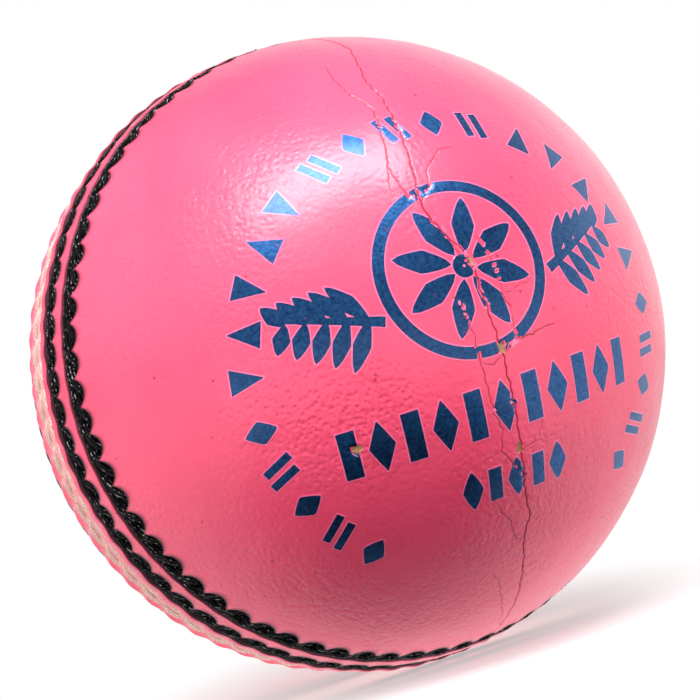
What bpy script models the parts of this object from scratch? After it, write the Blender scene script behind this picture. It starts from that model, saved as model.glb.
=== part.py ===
"""A four-piece cricket ball, modelled as the pieces it is wound and stitched from.

Frame: the origin is the ball's centre. The seam lies in the XZ plane, like the tread of a wheel.
-Y is the pole of the stamped front cup and +Y the pole of the plain rear cup. The front cup's two
leather quarters meet in the YZ plane, and the rear cup's in the XY plane, a quarter turn round.
Lengths are in metres. Angles are in radians unless a name says degrees.
"""

import math
from typing import NamedTuple

import bmesh
import bpy
from mathutils import Matrix, Vector

# Driving dimensions
BALL_RADIUS = 0.03615
LEATHER_THICKNESS = 0.0038
GAP = 0.0003
STITCHES_PER_ROW = 76

# The flat that the ball's own weight presses into the leather at each pole starts at this latitude
POLE_LATITUDE = math.radians(87)


class StitchRow(NamedTuple):
    """One row of thread round the ball."""

    arc: float  # distance of its middle from the join, along the leather
    width: float  # across the row
    height: float  # top to bottom, at the crest of a stitch
    proud: float  # how far a crest stands above the leather


INNER_ROW = StitchRow(arc=0.00145, width=0.0013, height=0.0008, proud=0.0)
MIDDLE_ROW = StitchRow(arc=0.00545, width=0.0022, height=0.0012, proud=0.00015)
OUTER_ROW = StitchRow(arc=0.0101, width=0.0022, height=0.0012, proud=0.00015)
DIP_SHARE = 0.6  # size of the thread where it dives between two stitches
STITCH_LEAN = 0.35  # lead of a stitch's pole side over its join side, as a share of the pitch

# Layers of the quilt, from the nucleus out: each layer's outer radius, the next starts one GAP further
CORE_RADIUS = 0.0110
INNER_YARN_RADIUS = 0.0147
INNER_CORK_RADIUS = 0.0176
MIDDLE_YARN_RADIUS = 0.0224
OUTER_CORK_RADIUS = 0.0255
LEATHER_INNER_RADIUS = BALL_RADIUS - LEATHER_THICKNESS
OUTER_YARN_RADIUS = LEATHER_INNER_RADIUS - GAP
RIB_DEPTH = 0.0005  # valley between two turns of wound yarn
YARN_OPENING = 0.0015  # radius of the hole where the yarn goes in
INNER_STRIPS = 4
OUTER_STRIPS = 6
STRIP_END = math.radians(14)  # how far a cork strip's ends stop short of the pole it bends round to
STRIP_SPACING = 0.0008  # between the long edges of two neighbouring strips
STRIP_STEPS = 3  # facets across a strip, and half as many as along it

# The hidden butt stitch inside each cup, in a channel along the quarters' inner edges
CHANNEL_RADIUS = 0.0011
CHANNEL_LIFT = 0.0002  # the channel's centre line, above the leather's inner face
SEAM_THREAD_RADIUS = 0.00045
SEAM_THREAD_LIFT = 0.0004
SEAM_THREAD_WANDER = 0.00025  # swing from one quarter to the other
SEAM_THREAD_STITCHES = 20
SEAM_THREAD_END = math.radians(6)  # how far the thread's ends stop short of the join

CUP_SEGMENTS = 36
CUP_STEPS = 9
CHANNEL_SEGMENTS = 44
CHANNEL_SIDES = 6

QUARTER_TURN = math.radians(90)
TO_FRONT = Matrix.Rotation(QUARTER_TURN, 4, "X")  # local +Z to world -Y
TO_REAR = Matrix.Rotation(-QUARTER_TURN, 4, "X")  # local +Z to world +Y
TO_REAR_TURNED = TO_REAR @ Matrix.Rotation(QUARTER_TURN, 4, "Z")  # so the rear cup's quarters meet across
UPRIGHT = Matrix.Identity(4)
SIDEWAYS = Matrix.Rotation(QUARTER_TURN, 4, "Y")  # local +Z to world +X


def clear_scene():
    for obj in list(bpy.data.objects):
        bpy.data.objects.remove(obj)


def make_material(name, colour, roughness, metallic=0.0):
    material = bpy.data.materials.new(name)
    material.use_nodes = True
    shader = material.node_tree.nodes["Principled BSDF"]
    shader.inputs["Base Color"].default_value = (*colour, 1.0)
    shader.inputs["Roughness"].default_value = roughness
    shader.inputs["Metallic"].default_value = metallic
    return material


def add_object(name, mesh_data, placement, material=None):
    """Turns a finished bmesh into a named object, its faces pointing out."""
    bmesh.ops.recalc_face_normals(mesh_data, faces=mesh_data.faces)
    mesh = bpy.data.meshes.new(name)
    mesh_data.to_mesh(mesh)
    mesh_data.free()
    mesh.shade_smooth()
    mesh.set_sharp_from_angle(angle=math.radians(35))
    if material:
        mesh.materials.append(material)
    obj = bpy.data.objects.new(name, mesh)
    obj.matrix_world = placement
    bpy.context.scene.collection.objects.link(obj)
    return obj


def polar_point(radius, latitude):
    """(distance from the axis, height along it) of a point on a sphere of that radius."""
    return radius * math.cos(latitude), radius * math.sin(latitude)


def spread(start, end, count):
    """count values from start to end, both included."""
    return [start + (end - start) * i / (count - 1) for i in range(count)]


def clear_of_facets(radius, angle_across, angle_along):
    """Radius for the corners of a hollow's flat facets, so that their middles stay outside that radius."""
    return radius / (math.cos(angle_across / 2) * math.cos(angle_along / 2))


def bridge(mesh_data, ring_a, ring_b, closed=True):
    """Faces between two rings, or two open rows, of as many vertices each."""
    last = len(ring_a) if closed else len(ring_a) - 1
    for i in range(last):
        j = (i + 1) % len(ring_a)
        mesh_data.faces.new((ring_a[i], ring_a[j], ring_b[j], ring_b[i]))


def revolved(profile, segments):
    """Turns (distance, height) points round the local Z axis, and closes both ends with a flat face."""
    mesh_data = bmesh.new()
    rings = []
    for distance, height in profile:
        ring = []
        for i in range(segments):
            angle = 2 * math.pi * i / segments
            ring.append(mesh_data.verts.new((distance * math.cos(angle), distance * math.sin(angle), height)))
        rings.append(ring)
    for ring_a, ring_b in zip(rings, rings[1:]):
        bridge(mesh_data, ring_a, ring_b)
    mesh_data.faces.new(rings[0])
    mesh_data.faces.new(rings[-1])
    return mesh_data


def strand(point_rings, closed):
    """A thread through successive rings of points, either a closed hoop or one with two flat ends."""
    mesh_data = bmesh.new()
    rings = [[mesh_data.verts.new(point) for point in ring] for ring in point_rings]
    for ring_a, ring_b in zip(rings, rings[1:]):
        bridge(mesh_data, ring_a, ring_b)
    if closed:
        bridge(mesh_data, rings[-1], rings[0])
    else:
        mesh_data.faces.new(rings[0])
        mesh_data.faces.new(rings[-1])
    return mesh_data


# Quilt


def build_cork_core(material):
    mesh_data = bmesh.new()
    bmesh.ops.create_icosphere(mesh_data, subdivisions=3, radius=CORE_RADIUS)
    return add_object("cork_core", mesh_data, UPRIGHT, material)


def build_yarn_winding(name, inner_radius, outer_radius, turns, segments, placement, material):
    """A wound shell, ribbed by its turns of yarn, with the small hole where the winding starts."""
    outer_rim = math.acos(YARN_OPENING / outer_radius)
    outside = [
        polar_point(outer_radius - RIB_DEPTH * (i % 2), latitude)
        for i, latitude in enumerate(spread(-POLE_LATITUDE, outer_rim, 2 * turns + 1))
    ]
    inner_rim = math.acos(YARN_OPENING / inner_radius)
    latitudes = spread(inner_rim, -POLE_LATITUDE, turns + 4)
    hollow_radius = clear_of_facets(inner_radius, 2 * math.pi / segments, latitudes[0] - latitudes[1])
    inside = [polar_point(hollow_radius, latitude) for latitude in latitudes]
    return add_object(name, revolved(outside + inside, segments), placement, material)


def build_cork_strip(name, index, count, inner_radius, outer_radius, placement, material):
    """One curved strip of cork sheet, bent from near one pole of the local Z axis to near the other."""
    width = 2 * math.pi / count - STRIP_SPACING / inner_radius
    middle = 2 * math.pi * index / count
    across = spread(middle - width / 2, middle + width / 2, STRIP_STEPS + 1)
    along = spread(-math.pi / 2 + STRIP_END, math.pi / 2 - STRIP_END, 2 * STRIP_STEPS + 1)
    hollow_radius = clear_of_facets(inner_radius, across[1] - across[0], along[1] - along[0])
    mesh_data = bmesh.new()
    rows = []
    for latitude in along:
        section = [(hollow_radius, angle) for angle in across]
        section += [(outer_radius, angle) for angle in reversed(across)]
        row = []
        for radius, angle in section:
            distance, height = polar_point(radius, latitude)
            row.append(mesh_data.verts.new((distance * math.cos(angle), distance * math.sin(angle), height)))
        rows.append(row)
    for row_a, row_b in zip(rows, rows[1:]):
        bridge(mesh_data, row_a, row_b)
    for row in (rows[0], rows[-1]):
        half = len(row) // 2
        bridge(mesh_data, row[:half], list(reversed(row[half:])), closed=False)
    return add_object(name, mesh_data, placement, material)


def build_quilt(cork, wool):
    build_cork_core(cork)
    build_yarn_winding("inner_yarn_winding", CORE_RADIUS + GAP, INNER_YARN_RADIUS, 4, 16, UPRIGHT, wool)
    for i in range(INNER_STRIPS):
        name = f"inner_cork_strip_{i + 1}"
        build_cork_strip(name, i, INNER_STRIPS, INNER_YARN_RADIUS + GAP, INNER_CORK_RADIUS, SIDEWAYS, cork)
    build_yarn_winding("middle_yarn_winding", INNER_CORK_RADIUS + GAP, MIDDLE_YARN_RADIUS, 6, 18, SIDEWAYS, wool)
    for i in range(OUTER_STRIPS):
        name = f"outer_cork_strip_{i + 1}"
        build_cork_strip(name, i, OUTER_STRIPS, MIDDLE_YARN_RADIUS + GAP, OUTER_CORK_RADIUS, UPRIGHT, cork)
    build_yarn_winding("outer_yarn_winding", OUTER_CORK_RADIUS + GAP, OUTER_YARN_RADIUS, 7, 22, UPRIGHT, wool)


# Leather cups


def skin_point(arc, depth):
    """Profile point that far from the join along the leather, and that far below its surface."""
    return polar_point(BALL_RADIUS - depth, arc / BALL_RADIUS)


def groove(row):
    """The four corners of the groove that a stitch row lies in, from its pole side to its join side."""
    half_width = row.width / 2 + GAP
    depth = row.height - row.proud + GAP
    return [
        skin_point(row.arc + half_width, 0.0),
        skin_point(row.arc + half_width - GAP / 2, depth),
        skin_point(row.arc - half_width + GAP / 2, depth),
        skin_point(row.arc - half_width, 0.0),
    ]


def cup_profile():
    """Section of one leather cup, from the outside of its pole to the join and back along the inside."""
    seam_edge = (OUTER_ROW.arc + OUTER_ROW.width / 2 + GAP) / BALL_RADIUS
    outside = [polar_point(BALL_RADIUS, latitude) for latitude in spread(POLE_LATITUDE, seam_edge, CUP_STEPS)[:-1]]
    grooves = groove(OUTER_ROW) + groove(MIDDLE_ROW) + groove(INNER_ROW)
    join_face = [(BALL_RADIUS, GAP / 2)]
    latitudes = spread(GAP / 2 / LEATHER_INNER_RADIUS, POLE_LATITUDE, CUP_STEPS)
    hollow_radius = clear_of_facets(LEATHER_INNER_RADIUS, 2 * math.pi / CUP_SEGMENTS, latitudes[1] - latitudes[0])
    inside = [polar_point(hollow_radius, latitude) for latitude in latitudes]
    return outside + grooves + join_face + inside


def seam_channel(name, placement):
    """Hoop-shaped cutter for the channel of the hidden stitch, lying in the local YZ plane."""
    rings = []
    for i in range(CHANNEL_SEGMENTS):
        angle = 2 * math.pi * i / CHANNEL_SEGMENTS
        outward = Vector((0.0, math.sin(angle), math.cos(angle)))
        centre = outward * (LEATHER_INNER_RADIUS + CHANNEL_LIFT)
        ring = []
        for j in range(CHANNEL_SIDES):
            turn = 2 * math.pi * j / CHANNEL_SIDES
            offset = outward * math.cos(turn) + Vector((math.sin(turn), 0.0, 0.0))
            ring.append(centre + offset * CHANNEL_RADIUS)
        rings.append(ring)
    cutter = add_object(name, strand(rings, closed=True), placement)
    cutter.hide_render = True
    cutter.display_type = "WIRE"
    return cutter


def build_quarter(name, side, placement, channel, material):
    """Half of a cup, on one side of the local YZ plane, with its share of the stitch channel cut out."""
    mesh_data = revolved(cup_profile(), CUP_SEGMENTS)
    cut = bmesh.ops.bisect_plane(
        mesh_data,
        geom=mesh_data.verts[:] + mesh_data.edges[:] + mesh_data.faces[:],
        plane_co=(side * GAP / 2, 0, 0),
        plane_no=(-side, 0, 0),
        clear_outer=True,
    )
    cut_edges = [item for item in cut["geom_cut"] if isinstance(item, bmesh.types.BMEdge)]
    bmesh.ops.edgenet_fill(mesh_data, edges=cut_edges)
    quarter = add_object(name, mesh_data, placement, material)
    boolean = quarter.modifiers.new("stitch channel", "BOOLEAN")
    boolean.operation = "DIFFERENCE"
    boolean.solver = "EXACT"
    boolean.object = channel
    return quarter


def build_leather(leather):
    front_channel = seam_channel("front_stitch_channel", TO_FRONT)
    rear_channel = seam_channel("rear_stitch_channel", TO_REAR_TURNED)
    build_quarter("front_left_leather_quarter", -1, TO_FRONT, front_channel, leather)
    build_quarter("front_right_leather_quarter", 1, TO_FRONT, front_channel, leather)
    build_quarter("rear_upper_leather_quarter", -1, TO_REAR_TURNED, rear_channel, leather)
    build_quarter("rear_lower_leather_quarter", 1, TO_REAR_TURNED, rear_channel, leather)


# Thread


def build_quarter_seam_thread(name, placement, material):
    """The hidden butt stitch, over the pole in the local YZ plane, swinging from quarter to quarter."""
    rings = []
    for i, latitude in enumerate(spread(SEAM_THREAD_END, math.pi - SEAM_THREAD_END, 2 * SEAM_THREAD_STITCHES + 1)):
        outward = Vector((0.0, math.cos(latitude), math.sin(latitude)))
        swing = SEAM_THREAD_WANDER * (1 if i % 2 else -1)
        centre = outward * (LEATHER_INNER_RADIUS + SEAM_THREAD_LIFT) + Vector((swing, 0.0, 0.0))
        across = Vector((SEAM_THREAD_RADIUS, 0.0, 0.0))
        up = outward * SEAM_THREAD_RADIUS
        rings.append([centre + across, centre + up, centre - across, centre - up])
    return add_object(name, strand(rings, closed=False), placement, material)


def build_stitch_row(name, row, placement, material):
    """One row of thread round the ball, fat at the crest of each stitch and thin where it dives."""
    rings = []
    for i in range(2 * STITCHES_PER_ROW):
        size = 1.0 if i % 2 == 0 else DIP_SHARE
        middle_radius = BALL_RADIUS + row.proud - row.height / 2
        corners = ((row.width / 2, 0.0), (0.0, row.height / 2), (-row.width / 2, 0.0), (0.0, -row.height / 2))
        ring = []
        for towards_pole, outward in corners:
            lead = STITCH_LEAN * towards_pole / row.width
            angle = 2 * math.pi * (i / 2 + lead) / STITCHES_PER_ROW
            latitude = (row.arc + towards_pole * size) / BALL_RADIUS
            distance, height = polar_point(middle_radius + outward * size, latitude)
            ring.append(Vector((distance * math.cos(angle), distance * math.sin(angle), height)))
        rings.append(ring)
    return add_object(name, strand(rings, closed=True), placement, material)


def build_threads(waxed_thread, natural_thread):
    build_quarter_seam_thread("front_quarter_seam_thread", TO_FRONT, natural_thread)
    build_quarter_seam_thread("rear_quarter_seam_thread", TO_REAR_TURNED, natural_thread)
    for end, placement in (("front", TO_FRONT), ("rear", TO_REAR)):
        build_stitch_row(f"{end}_inner_stitch_row", INNER_ROW, placement, natural_thread)
        build_stitch_row(f"{end}_middle_stitch_row", MIDDLE_ROW, placement, waxed_thread)
        build_stitch_row(f"{end}_outer_stitch_row", OUTER_ROW, placement, waxed_thread)


def main():
    clear_scene()
    leather = make_material("pink_leather", (0.90, 0.11, 0.24), 0.30)
    waxed_thread = make_material("black_waxed_thread", (0.012, 0.010, 0.012), 0.42)
    natural_thread = make_material("natural_thread", (0.68, 0.52, 0.44), 0.70)
    cork = make_material("cork", (0.42, 0.25, 0.13), 0.90)
    wool = make_material("wool_yarn", (0.62, 0.54, 0.42), 0.95)
    build_quilt(cork, wool)
    build_leather(leather)
    build_threads(waxed_thread, natural_thread)


main()
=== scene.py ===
"""Visual model of a pink four-piece cricket ball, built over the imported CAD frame.

The ball's centre is the origin. The sewn join lies in the XZ plane, the stamped pole points to -Y and the
plain pole to +Y. Positions on a cup are given flat, as arc lengths (across, up) from its pole: across runs
along X and up along Z. Lengths are in metres.
"""
import math
from typing import NamedTuple

import bmesh
import bpy
import numpy as np
from mathutils import Matrix, Vector
from mathutils.geometry import delaunay_2d_cdt


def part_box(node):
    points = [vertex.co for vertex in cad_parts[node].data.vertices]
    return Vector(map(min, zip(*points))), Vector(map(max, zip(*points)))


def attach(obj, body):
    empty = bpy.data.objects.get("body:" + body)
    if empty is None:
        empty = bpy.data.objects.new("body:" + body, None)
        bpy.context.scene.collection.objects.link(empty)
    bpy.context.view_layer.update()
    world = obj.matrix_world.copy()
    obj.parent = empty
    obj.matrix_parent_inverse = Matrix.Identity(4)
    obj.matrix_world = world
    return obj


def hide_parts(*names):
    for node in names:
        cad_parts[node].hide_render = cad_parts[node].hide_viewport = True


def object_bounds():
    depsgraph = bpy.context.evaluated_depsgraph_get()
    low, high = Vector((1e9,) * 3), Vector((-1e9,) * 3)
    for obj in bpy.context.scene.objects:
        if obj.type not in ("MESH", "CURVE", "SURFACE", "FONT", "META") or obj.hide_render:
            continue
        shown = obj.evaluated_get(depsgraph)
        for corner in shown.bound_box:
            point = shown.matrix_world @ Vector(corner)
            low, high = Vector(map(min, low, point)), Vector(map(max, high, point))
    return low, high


MM = 0.001
TURN = 2 * math.pi
FRONT = -1
REAR = 1

# Mesh of the leather cups
STITCHES = 76
LEATHER_THICKNESS = 3.8 * MM
BAND_COLUMNS = STITCHES * 12
BAND_ARC = 13 * MM
BAND_STEP = 0.2 * MM
CAP_STEP = 0.5 * MM
COARSER_LATITUDES = (math.radians(66), math.radians(79))
JOIN_GAP = 0.02 * MM
LINING_STEP = 3 * MM
LINING_REACH = 60 * MM
SHARP_EDGE = math.radians(70)

# Relief of the leather
SWELL = 0.035 * MM
RIPPLE = 0.012 * MM
INNER_LAND_PULL = 0.36 * MM
OUTER_LAND_PULL = 0.18 * MM
SHOULDER_RISE = 0.10 * MM
JOIN_ROUNDING = 0.35 * MM
SCALLOP_SHIFT = 0.62
SCALLOP_SHARE = 0.47
SCALLOP_SEED = 5
FADED_ARC = 0.9 * MM
JOIN_WIDTH = 0.13 * MM
JOIN_DEPTH = 0.10 * MM
REAR_JOIN_SHARE = 0.35
NO_CRACK = 9.0

# Cracks in the lacquer
CRACK_REACH = 0.45 * MM
CRACK_SEARCH = 1.2 * MM
CRACK_CUTS = 5
CRACK_SCALE = 0.60
CRACK_STEP = 0.45 * MM
CRACK_WOBBLE = 0.07 * MM
CRACK_SEED = 11
LIP_SHARE = 0.09
WORN_WIDTH = 9 * MM

# Thread
COIL_SAMPLES = 26
RUNNER_SAMPLES = 10
THREAD_SIDES = 16
THREAD_SINK = 0.5 * MM
STITCH_ADVANCE = 0.235
LOOSENESS = (("swing", 0.08), ("rise", 0.08), ("strand", 0.06), ("advance", 0.10), ("place", 0.05))
RUNNER_LAY = 1.4 * MM
RUNNER_WAVE = 0.12 * MM
RUNNER_BOB = 0.10 * MM
RUNNER_SAG = 0.05
PLY_DEPTH = 0.13
PLY_LINES = 9
PLY_LAY = 2.6
FIBRES = 620
FIBRE_RINGS = 4
FIBRE_THICKNESS = 0.028 * MM
ROW_SEED = 20

# Foil stamp, placed on the front cup
STAMP_CENTRE = (-1.7 * MM, -5.5 * MM)
STAMP_TURN = math.radians(5)
RING_RADIUS = 23.3 * MM
HOOP_POINTS = 72
FOIL_STEP = 0.25 * MM
FOIL_RISE = 0.035 * MM
FOIL_SINK = 0.12 * MM
FOIL_BREAK = 0.55
RIM_WIDTH = 0.14 * MM
RIM_RISE = 0.02 * MM

# Camera
CAMERA_AZIMUTH = -23.94
CAMERA_ELEVATION = -5.45
CAMERA_ROLL = -15.2
CAMERA_DISTANCE = 4.5
CAMERA_LENS = 71.5
CAMERA_SHIFT = (0.0017, 0.0053)

# Studio
SKY_LOW = 0.62
SKY_HIGH = 0.82
MIRROR_FRONT = 0.12
MIRROR_BACK = 1.1
MIRROR_LEFT = 0.55
FLOOR_RADIUS = 4.0
FLOOR_WHITE = 0.45
FADE_NEAR = 0.02
FADE_FAR = 0.13
FLOOR_GLOW = 1.35
FLOOR_GLINT = 0.8
SHADE_CENTRE = (-0.028, -0.064, 0)
SHADE_NEAR = 0.036
SHADE_FAR = 0.058


class Softbox(NamedTuple):
    """An area light that faces the ball."""

    direction: tuple
    distance: float
    size: tuple
    power: float
    mirrored: bool


SOFTBOXES = {
    "key": Softbox((-0.11, -0.57, 0.81), 0.40, (0.33, 0.12), 1.5, True),
    "fill": Softbox((-0.35, -0.50, 0.80), 0.60, (0.60, 0.60), 4.0, False),
}


class Crack(NamedTuple):
    """One crazed line in the lacquer of the front cup, in millimetres from the pole."""

    width: float
    depth: float
    path: tuple


class Pit(NamedTuple):
    """A chip that bares the hide, in millimetres from the pole."""

    across: float
    up: float
    half_width: float
    half_height: float
    depth: float


class SewnRow(NamedTuple):
    """One row of stitches: its place, its coil of thread, its scalloped channel and its straight runner."""

    arc: float  # middle of the row, from the join
    shift: float  # start of its first stitch, in stitches
    strand: float  # radius of the thread
    swing: float  # reach of the coil to each side
    lean: float  # middle of the coil, towards the pole
    rise: float  # reach of the coil up and down
    crown: float  # top of the coil over the skin
    lay: float  # length of one twist of the plies
    notch: float  # edge of the channel between two scallops
    scallop: float  # edge of the channel at a scallop's middle
    channel: float  # depth
    runner_offset: float  # the runner's place, towards the join
    runner_strand: float  # its radius, 0 where there is none
    runner_crown: float


# The join of the two front quarters wanders as it climbs the face: (up, across) in millimetres.
JOIN_WANDER = (
    (-57, 0), (-43, 3.5), (-36, 3.0), (-30.5, 2.0), (-26.6, 1.2), (-24, 1.6), (-21, 0.7), (-15, 0.1),
    (-7, -0.6), (-1.5, -1.3), (2.5, -1.5), (6, -3.6), (8.7, -4.4), (13, -3.6), (17, -3.0), (22, -2.5),
    (25.6, -2.8), (30, -1.6), (34, -0.3), (57, 0),
)

CRACKS = (
    Crack(0.17, 0.13, ((-5.3, 30.5), (-5.9, 27.5), (-5.4, 23.8), (-4.2, 21), (-5.1, 16.4),
                       (-5.9, 13.3), (-5.5, 10.2), (-4.5, 8.7))),
    Crack(0.15, 0.10, ((-5.9, 13.4), (-6.4, 12), (-6.7, 10.8))),
    Crack(0.15, 0.12, ((1.8, 14.3), (-0.2, 14.2), (-1.2, 13.2), (-2.4, 12), (-2.8, 10.4), (-4.4, 8.7))),
    Crack(0.14, 0.10, ((-4.4, 8.7), (-4.2, 7.6), (-3.4, 5.5), (-2.7, 4), (-2.2, 2.6), (-1.4, 1.8))),
    Crack(0.13, 0.10, ((-0.4, 5.7), (0.2, 3.6), (0.8, 1.2), (0.8, -1.3), (1.3, -3.6), (1.1, -5.8))),
    Crack(0.16, 0.12, ((-0.6, -7), (0.3, -6.5), (1.1, -5.8), (2.6, -5.9), (4.6, -5.4), (6.2, -5.2))),
    Crack(0.12, 0.09, ((0.8, -1.5), (2.2, -1.1), (3.9, -0.8), (4.6, -0.3))),
    Crack(0.14, 0.11, ((-4.3, -0.7), (-3.5, -1.9), (-3.2, -4.5), (-3.0, -7.3), (-2.8, -9.5),
                       (-2.6, -11.8), (-1.7, -14.2), (-2, -16), (-1, -17.3), (-0.3, -18.4))),
    Crack(0.13, 0.10, ((-3, -7.3), (-2, -7.8), (-1.2, -7.4), (-0.6, -7))),
    Crack(0.12, 0.08, ((-2, -16), (-2.6, -16.4), (-3.8, -16.6))),
    Crack(0.13, 0.09, ((0.1, -16.5), (1.5, -16.1), (2.4, -16), (4.5, -15.9))),
    Crack(0.11, 0.08, ((2.4, -16), (2.9, -14), (2.6, -12.5))),
    Crack(0.16, 0.12, ((-2.9, -21.2), (-2.1, -22.5), (-0.9, -23.8), (-0.3, -25.6), (0.3, -26.6),
                       (1.2, -26.6))),
    Crack(0.14, 0.09, ((-2.2, -30.4), (-1, -32), (0.2, -35), (0.9, -37), (1.8, -38.8), (2.5, -41),
                       (3.4, -43))),
    Crack(0.12, 0.08, ((2, -31), (3.4, -31), (4.3, -30.6))),
)

PITS = (
    Pit(-0.6, -6.3, 0.34, 0.50, 0.16),
    Pit(-0.05, -16.3, 0.24, 0.48, 0.12),
    Pit(-16.2, -12.6, 0.40, 0.42, 0.10),
    Pit(-1.5, 2.2, 0.20, 0.45, 0.10),
)


def smooth(x):
    """Rises from 0 at 0 to 1 at 1 along an even curve."""
    x = np.clip(x, 0, 1)
    return x * x * (3 - 2 * x)


def on_cup(across, up, side, height=0.0):
    """Points of a cup at a height over the nominal skin, from flat positions."""
    reach = np.hypot(across, up)
    shrink = np.sinc(reach / BALL_RADIUS / math.pi) / BALL_RADIUS
    radius = BALL_RADIUS + height
    depth = side * np.cos(reach / BALL_RADIUS) * radius
    return np.stack([across * shrink * radius, depth, up * shrink * radius], axis=-1)


def arc_from_join(across, up):
    """Arc length between a flat position and the sewn join."""
    return TO_POLE - np.hypot(across, up)


def row_arc(node):
    """Arc length between the join and a CAD stitch row."""
    low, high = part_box(node)
    centre = abs(low[1] + high[1]) / 2
    return BALL_RADIUS * math.asin(centre / (BALL_RADIUS - THREAD_SINK))


# ---------------------------------------------------------------- relief of the leather


def resampled(path, step, rng, wobble):
    """The path with a point every step or so, each moved a little to one side."""
    path = np.array(path) * MM
    lengths = np.hypot(*np.diff(path, axis=0).T)
    along = np.concatenate([[0], np.cumsum(lengths)])
    count = max(2, round(along[-1] / step))
    samples = np.linspace(0, along[-1], count + 1)
    points = np.stack([np.interp(samples, along, path[:, k]) for k in (0, 1)], axis=1)
    points[1:-1] += rng.normal(0, wobble, (count - 1, 2))
    return points


def crack_segments():
    """Segment starts, ends, widths and depths of every crack in the front cup."""
    rng = np.random.default_rng(CRACK_SEED)
    starts, ends, widths, depths = [], [], [], []
    for crack in CRACKS:
        points = resampled(crack.path, CRACK_STEP, rng, CRACK_WOBBLE)
        count = len(points) - 1
        fade = smooth(np.minimum(np.arange(count) + 1, count - np.arange(count)) / 3)
        rough = rng.uniform(0.7, 1.25, count)
        starts.append(points[:-1])
        ends.append(points[1:])
        widths.append(CRACK_SCALE * crack.width * MM * rough * (0.6 + 0.4 * fade))
        depths.append(CRACK_SCALE * crack.depth * MM * fade)
    return tuple(np.concatenate(group) for group in (starts, ends, widths, depths))


def join_across(up):
    """How far the join of the front quarters has wandered at a height."""
    heights = np.array([point[0] for point in JOIN_WANDER]) * MM
    offsets = np.array([point[1] for point in JOIN_WANDER]) * MM
    ripple = 0.07 * MM * np.sin(up / MM * 2.3) + 0.05 * MM * np.sin(up / MM * 5.1 + 1)
    return np.interp(up, heights, offsets) + ripple


def groove(distance, width, depth):
    """A crack's section: a rounded V with the lacquer curled up a little on both lips."""
    cut = np.clip(1 - distance / width, 0, 1) ** 0.8
    lip = np.exp(-(((distance - 1.7 * width) / (0.6 * width)) ** 2))
    return depth * (LIP_SHARE * lip - cut)


def nearest_crack(across, up, segments):
    """For each position the deepest crack relief, and its distance as a share of the crack's width."""
    relief = np.zeros(len(across))
    share = np.full(len(across), NO_CRACK)
    worn = np.flatnonzero(abs(across) < WORN_WIDTH)
    spots = np.stack([across[worn], up[worn]], axis=1)
    for start, end, width, depth in zip(*segments):
        beside = np.flatnonzero((abs(spots - start) < CRACK_SEARCH).all(axis=1))
        if len(beside) == 0:
            continue
        near = worn[beside]
        span = end - start
        offset = spots[beside] - start
        along = np.clip(offset @ span / (span @ span), 0, 1)
        distance = np.hypot(*(offset - along[:, None] * span).T)
        height = groove(distance, width, depth)
        deeper = abs(height) > abs(relief[near])
        relief[near[deeper]] = height[deeper]
        share[near] = np.minimum(share[near], distance / width)
    return relief, share


def row_relief(arc, turns, row):
    """The channel one row of thread lies in, scalloped on the side of the pole, and a mask that is 1 in the
    channel and fades beside it: painted shade in the channel and its pits, and a real wax stain at its
    fringe.
    """
    offset = arc - row.arc
    place = turns - row.shift - SCALLOP_SHIFT + 0.5
    draws = np.random.default_rng(SCALLOP_SEED).uniform(-1, 1, (2, STITCHES))
    uneven = draws[:, np.floor(place).astype(int) % STITCHES]
    beside = place % 1 - 0.5 + 0.04 * uneven[0]
    hump = np.clip(1 - (beside / SCALLOP_SHARE) ** 2, 0, 1) ** 0.65 * (1 + 0.10 * uneven[1])
    pole_edge = row.notch + (row.scallop - row.notch) * hump
    if row.runner_strand:
        join_edge = -row.runner_offset - row.runner_strand
    else:
        join_edge = -row.swing - row.strand
    join_wall = smooth((offset - join_edge) / (0.35 * MM))
    pole_wall = smooth((pole_edge + 0.1 * MM - offset) / (0.50 * MM))
    past_pole = np.clip(offset - pole_edge - 0.05 * MM, 0, None) / (0.50 * MM)
    past_join = np.clip(join_edge - offset + 0.10 * MM, 0, None) / (0.15 * MM)
    # Second value: painted shade inside the channel and its pits, fading outside into a wax stain.
    return -row.channel * join_wall * pole_wall, np.exp(-np.maximum(past_pole, past_join))


def land_relief(arc, turns, lower, upper, pull):
    """The leather between two rows, pulled into a soft ridge that swells once a stitch."""
    middle = (lower.arc + upper.arc) / 2
    half = (upper.arc - lower.arc) / 2
    ridge = np.clip(1 - ((arc - middle) / half) ** 2, 0, None)
    swell = 0.75 + 0.25 * np.cos(TURN * (turns - lower.shift - 0.6))
    return pull * ridge * swell


def hide_relief(across, up, arc, rows):
    """The hide's own unevenness, its soft shoulder beside the outer row and its rounded edge at the join."""
    x = across / MM
    y = up / MM
    height = SWELL * np.sin(x * 0.31 + 1) * np.sin(y * 0.27)
    height += RIPPLE * np.sin(x * 1.1 + 0.8 * np.sin(y * 0.7))
    past_outer = arc - rows[2].arc
    shoulder = smooth(past_outer / (1.5 * MM)) * (1 - smooth((past_outer - 1 * MM) / (4 * MM)))
    height += SHOULDER_RISE * shoulder
    return height - JOIN_ROUNDING * np.exp(-np.clip(arc - JOIN_GAP, 0, None) / (0.28 * MM))


def pit_relief(across, up):
    """The ragged chips: their depth, and how bare the hide is."""
    bare = np.zeros_like(across)
    depth = np.zeros_like(across)
    ragged = 1 + 0.22 * np.sin(np.arctan2(up, across) * 90) + 0.16 * np.sin(np.hypot(across, up) / MM * 9)
    for pit in PITS:
        far = np.hypot((across / MM - pit.across) / pit.half_width, (up / MM - pit.up) / pit.half_height)
        hole = smooth((1.25 - far * ragged) / 0.35)
        bare = np.maximum(bare, hole)
        depth = np.maximum(depth, pit.depth * MM * hole)
    return depth, bare


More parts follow.
